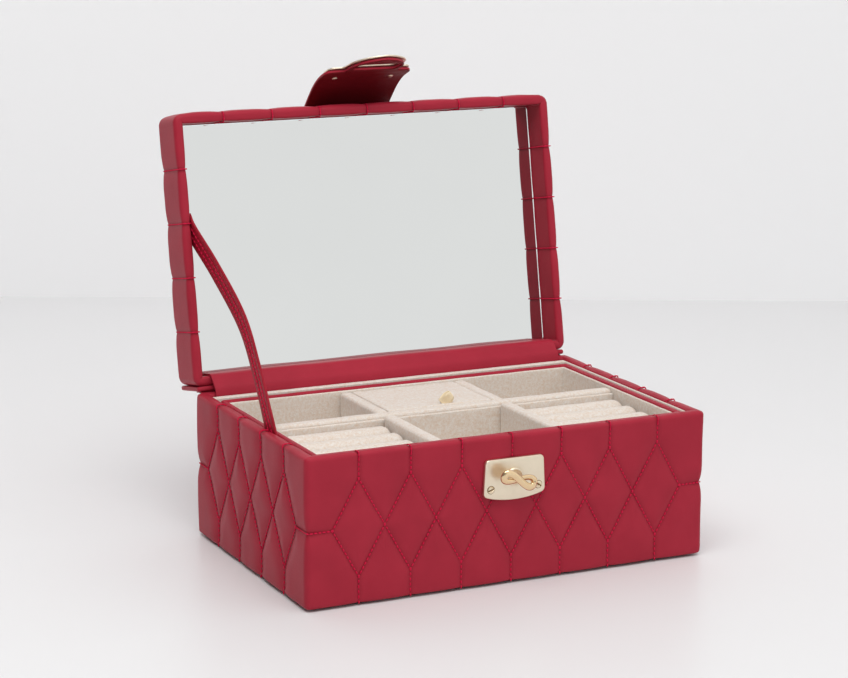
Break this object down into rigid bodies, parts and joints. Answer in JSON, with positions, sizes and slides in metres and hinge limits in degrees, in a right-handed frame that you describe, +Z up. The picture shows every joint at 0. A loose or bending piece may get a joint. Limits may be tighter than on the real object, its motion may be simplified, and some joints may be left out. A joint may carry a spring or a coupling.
{
  "type": "jewellery case",
  "caption": "Red quilted leather jewellery case with a hinged mirror lid, a stay strap, a clasp flap and turn lock, and a fabric-lined lift-out tray with ring rolls.",
  "frame": {"origin": "middle of the base pad's underside, which stands on the table", "axes": "+Z up, -Y towards the front with the lock, +X to the right seen from the front; the lid stands open"},
  "size_m": [0.254, 0.2435, 0.2901],
  "materials": {
    "red_leather": "quilted, semi-gloss",
    "dark_leather": "smooth, semi-gloss",
    "board": "raw",
    "cream_fabric": "short pile",
    "felt": "matte",
    "gold_metal": "polished",
    "mirror_glass": "silvered",
    "gold_ribbon": "ribbed"
  },
  "bodies": {
    "body": {"base_pad": "felt", "body_cover": "red_leather", "body_board_front": "board", "body_board_back": "board", "body_board_left": "board", "body_board_right": "board", "body_floor": "board", "liner_front": "cream_fabric", "liner_back": "cream_fabric", "liner_left": "cream_fabric", "liner_right": "cream_fabric", "floor_lining": "cream_fabric", "tray_rest_left": "cream_fabric", "tray_rest_right": "cream_fabric", "lock_plate": "gold_metal", "lock_screw_left": "gold_metal", "lock_screw_right": "gold_metal", "lock_collar": "gold_metal", "hinge_gusset": "dark_leather", "spine_fold": "red_leather", "stay_strap": "dark_leather"},
    "lid": {"lid_cover": "red_leather", "lid_board_front": "board", "lid_board_back": "board", "lid_board_left": "board", "lid_board_right": "board", "lid_board_top": "board", "mirror": "mirror_glass", "mirror_backing": "board", "spine_panel": "red_leather", "flap_root": "red_leather"},
    "clasp": {"flap_leather": "red_leather", "hasp_plate": "gold_metal", "flap_rivet_left": "gold_metal", "flap_rivet_right": "gold_metal"},
    "key": {"turn_key": "gold_metal"},
    "tray": {"tray_floor": "cream_fabric", "tray_wall_front": "red_leather", "tray_wall_back": "red_leather", "tray_wall_left": "red_leather", "tray_wall_right": "red_leather", "tray_lining": "cream_fabric", "divider_long": "cream_fabric", "front_row_lining": "cream_fabric", "divider_back_left": "cream_fabric", "divider_back_right": "cream_fabric", "divider_front_left": "cream_fabric", "divider_front_right": "cream_fabric", "ring_roll_left_1": "cream_fabric", "ring_roll_left_2": "cream_fabric", "ring_roll_left_3": "cream_fabric", "ring_roll_left_4": "cream_fabric", "ring_roll_right_1": "cream_fabric", "ring_roll_right_2": "cream_fabric", "ring_roll_right_3": "cream_fabric", "ring_roll_right_4": "cream_fabric"},
    "small_lid": {"small_lid": "cream_fabric", "pull_tab": "gold_ribbon"}
  },
  "joints": [
    {"name": "lid_hinge", "type": "hinge", "parent": "body", "child": "lid", "pos_m": [0, 0.08325, 0.0884], "axis": [-1, 0, 0], "range_deg": [-100.5, 0], "deforming": ["stay_strap", "hinge_gusset", "spine_fold"]},
    {"name": "clasp_fold", "type": "hinge", "parent": "lid", "child": "clasp", "pos_m": [0, 0.14446, 0.24639], "axis": [-1, 0, 0], "range_deg": [-20.5, 0]},
    {"name": "turn_lock", "type": "hinge", "parent": "body", "child": "key", "pos_m": [0, -0.08685, 0.0638], "axis": [0, -1, 0], "range_deg": [-73, 17]},
    {"name": "tray_lift", "type": "slide", "parent": "body", "child": "tray", "axis": [0, 0, 1], "range_m": [0, 0.05]},
    {"name": "small_lid_hinge", "type": "hinge", "parent": "tray", "child": "small_lid", "pos_m": [0, 0.06138, 0.0842], "axis": [-1, 0, 0], "range_deg": [0, 95]}
  ]
}
